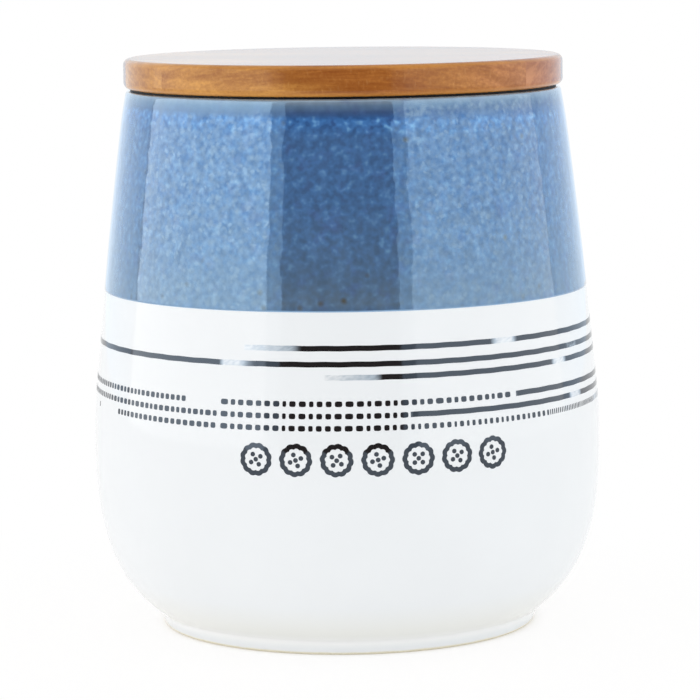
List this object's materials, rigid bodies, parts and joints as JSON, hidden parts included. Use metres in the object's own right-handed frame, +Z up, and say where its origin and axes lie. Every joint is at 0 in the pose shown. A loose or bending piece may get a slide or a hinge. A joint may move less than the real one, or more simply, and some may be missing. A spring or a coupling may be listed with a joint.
{
  "type": "biscuit jar",
  "caption": "Round-bellied glazed stoneware storage jar with a foot ring and a flat wooden lid that lifts off and is sealed by a finned ring.",
  "frame": {"origin": "centre of the foot ring, on the surface that the jar stands on", "axes": "+Z up along the jar's axis, towards the lid; the lid's staves run along X; -Y is the front"},
  "size_m": [0.16, 0.16, 0.1792],
  "materials": {
    "stoneware": "gloss",
    "stave_wood": "satin",
    "plug_wood": "satin",
    "seal_silicone": "matte",
    "coloured_glaze": "gloss",
    "line_colour": "gloss"
  },
  "bodies": {
    "jar": {"jar_body": "stoneware"},
    "lid": {"lid_stave_1": "stave_wood", "lid_stave_2": "stave_wood", "lid_stave_3": "stave_wood", "lid_stave_4": "stave_wood", "lid_stave_5": "stave_wood", "lid_plug": "plug_wood", "seal_ring": "seal_silicone"}
  },
  "joints": [
    {"name": "lid_lift", "type": "slide", "parent": "jar", "child": "lid", "axis": [0, 0, 1], "range_m": [0, 0.1]}
  ]
}
